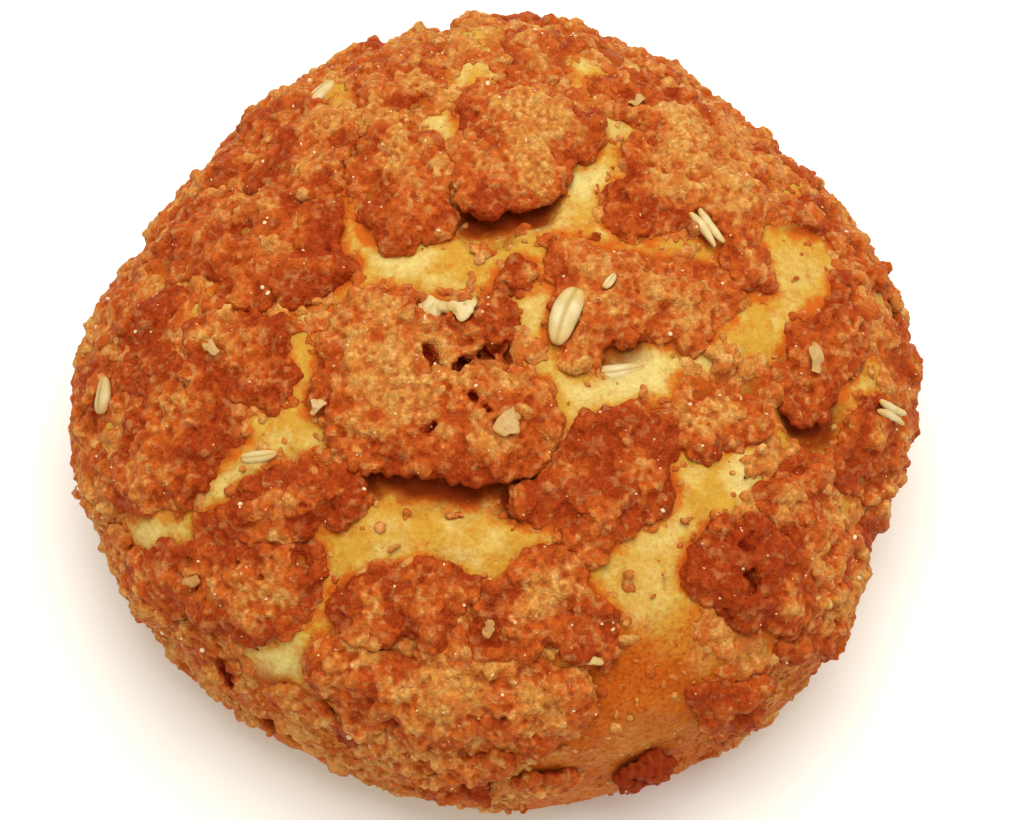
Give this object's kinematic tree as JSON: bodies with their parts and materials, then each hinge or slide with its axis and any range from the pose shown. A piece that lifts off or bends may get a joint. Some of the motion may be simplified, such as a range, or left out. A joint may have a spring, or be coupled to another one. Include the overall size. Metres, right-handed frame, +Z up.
{
  "type": "streusel bun",
  "caption": "Round sweet bun of golden baked dough on a flat base, its domed top covered with cracked clumps of browned oat streusel.",
  "frame": {"origin": "middle of the bounding box, on the flat base that the bun rests on", "axes": "+Z up through the crown, -Y towards the picture's lower edge, +X to the picture's right"},
  "size_m": [0.1074, 0.1036, 0.0416],
  "materials": {
    "dough": "satin baked dough crust, pale gold between the clumps and orange brown on the sides",
    "streusel": "rough granular streusel, browned on its edges, with sugar glints"
  },
  "bodies": {
    "root": {"dough": "dough", "streusel_crown": "streusel", "streusel_nugget": "streusel", "streusel_right_slab": "streusel", "streusel_right_front": "streusel", "streusel_back_slab": "streusel", "streusel_back_left_slab": "streusel", "streusel_back_right": "streusel", "streusel_front_slab_left": "streusel", "streusel_front_slab_right": "streusel", "streusel_front_slab_low": "streusel", "streusel_front_left_slab": "streusel", "streusel_front_left": "streusel", "streusel_front_left_rim": "streusel", "streusel_front_left_side": "streusel", "streusel_left_slab": "streusel", "streusel_left_mid": "streusel", "streusel_left_dark": "streusel", "streusel_left_rim": "streusel", "streusel_left_rim_front": "streusel", "streusel_left_rim_back": "streusel", "streusel_left_back_lump": "streusel", "streusel_left_back": "streusel", "streusel_left_back_mid": "streusel", "streusel_left_back_outer": "streusel", "streusel_left_back_ridge": "streusel", "streusel_left_back_rim": "streusel", "streusel_back_ridge": "streusel", "streusel_back_mid_rim": "streusel", "streusel_back_left_rim": "streusel", "streusel_back_right_rim": "streusel", "streusel_back_right_top": "streusel", "streusel_back_left_top": "streusel", "streusel_right": "streusel", "streusel_right_rim": "streusel", "streusel_right_rim_back": "streusel", "streusel_right_back": "streusel", "streusel_mid_right": "streusel", "streusel_right_low": "streusel", "streusel_front_right": "streusel", "streusel_front_right_low": "streusel", "streusel_front_right_rim": "streusel", "streusel_front_right_edge": "streusel", "streusel_front_side": "streusel", "streusel_front_side_left": "streusel", "streusel_front_side_right": "streusel", "streusel_front_belly": "streusel", "streusel_front_nub": "streusel", "streusel_rim_1": "streusel", "streusel_rim_2": "streusel", "streusel_rim_3": "streusel", "streusel_rim_4": "streusel", "streusel_rim_5": "streusel", "streusel_rim_6": "streusel", "streusel_rim_7": "streusel", "streusel_rim_8": "streusel", "streusel_rim_9": "streusel", "streusel_rim_10": "streusel", "streusel_rim_11": "streusel"}
  },
  "joints": []
}
